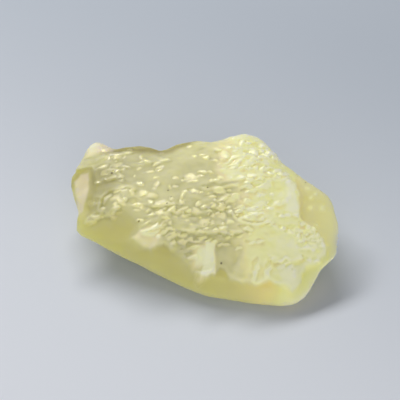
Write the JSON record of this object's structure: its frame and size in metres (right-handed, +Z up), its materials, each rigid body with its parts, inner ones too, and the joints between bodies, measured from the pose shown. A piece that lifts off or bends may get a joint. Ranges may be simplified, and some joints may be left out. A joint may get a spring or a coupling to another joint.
{
  "type": "raw libyan desert glass",
  "caption": "Wedge-shaped chip of pale yellow natural silica glass with an etched, pitted top, a smooth front band and a flat worn base to rest on.",
  "frame": {"origin": "centre of the bounding box at its bottom, on the flat worn base", "axes": "+X along the longest side towards the narrow tip, +Y towards the high back edge, +Z up from the base"},
  "size_m": [0.0424, 0.0282, 0.0122],
  "materials": {
    "desert_glass": "waxy translucent glass, etched on top and smooth along the front"
  },
  "bodies": {
    "root": {"desert_glass": "desert_glass"}
  },
  "joints": []
}
